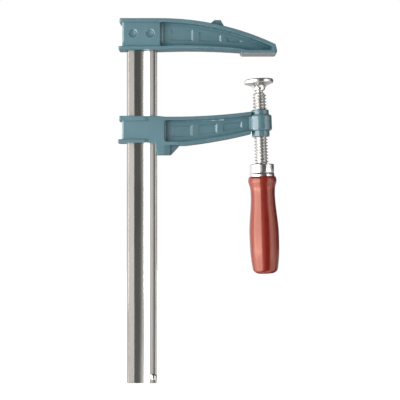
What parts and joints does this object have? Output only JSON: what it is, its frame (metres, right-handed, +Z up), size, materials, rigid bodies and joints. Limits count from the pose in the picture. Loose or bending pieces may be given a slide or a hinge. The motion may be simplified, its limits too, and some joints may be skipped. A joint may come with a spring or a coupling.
{
  "type": "bar clamp",
  "caption": "Screw clamp with a fixed jaw and a sliding arm on a grooved flat bar, a canted threaded spindle with a swivel pad and a turned wooden handle.",
  "frame": {"origin": "middle of the fixed jaw's clamping face, where the spindle's axis meets it", "axes": "+X from the bar towards the jaw's nose, +Z up along the bar from its free end to the fixed jaw, Y across the clamp"},
  "size_m": [0.1869, 0.0342, 0.4225],
  "materials": {
    "bar_steel": "cold rolled, bright zinc plated",
    "teal_paint": "semi-gloss enamel on cast iron",
    "bright_steel": "bright plated",
    "spindle_steel": "rolled thread, bright zinc plated",
    "red_wood": "red gloss lacquer on turned beech"
  },
  "bodies": {
    "rail": {"bar": "bar_steel", "fixed_jaw": "teal_paint", "jaw_rivet_1": "teal_paint", "jaw_rivet_2": "teal_paint", "end_stop_rivet": "bright_steel"},
    "arm": {"sliding_arm": "teal_paint", "spindle_bush": "teal_paint"},
    "screw_end": {"spindle_ball": "spindle_steel"},
    "screw": {"spindle": "spindle_steel", "ferrule": "bright_steel", "handle": "red_wood", "handle_pin": "bright_steel"},
    "pad": {"swivel_pad": "bright_steel"}
  },
  "joints": [
    {"name": "arm_slide", "type": "slide", "parent": "rail", "child": "arm", "axis": [0, 0, 1], "range_m": [-0.259, 0]},
    {"name": "screw_feed", "type": "slide", "parent": "arm", "child": "screw_end", "axis": [-0.0349, 0, 0.9994], "range_m": [-0.02, 0.0225]},
    {"name": "spindle_turn", "type": "hinge", "parent": "screw_end", "child": "screw", "pos_m": [0.00279, 0, -0.07995], "axis": [-0.0349, 0, 0.9994], "range_deg": [-1977.6, 2224.2]},
    {"name": "pad_tilt", "type": "hinge", "parent": "screw_end", "child": "pad", "pos_m": [0.0013, 0, -0.03728], "axis": [0, 1, 0], "range_deg": [-6.5, 9.5]}
  ],
  "couplings": [
    {"joint": "spindle_turn", "follows": "screw_feed", "rad_per_m": 1721.4}
  ]
}
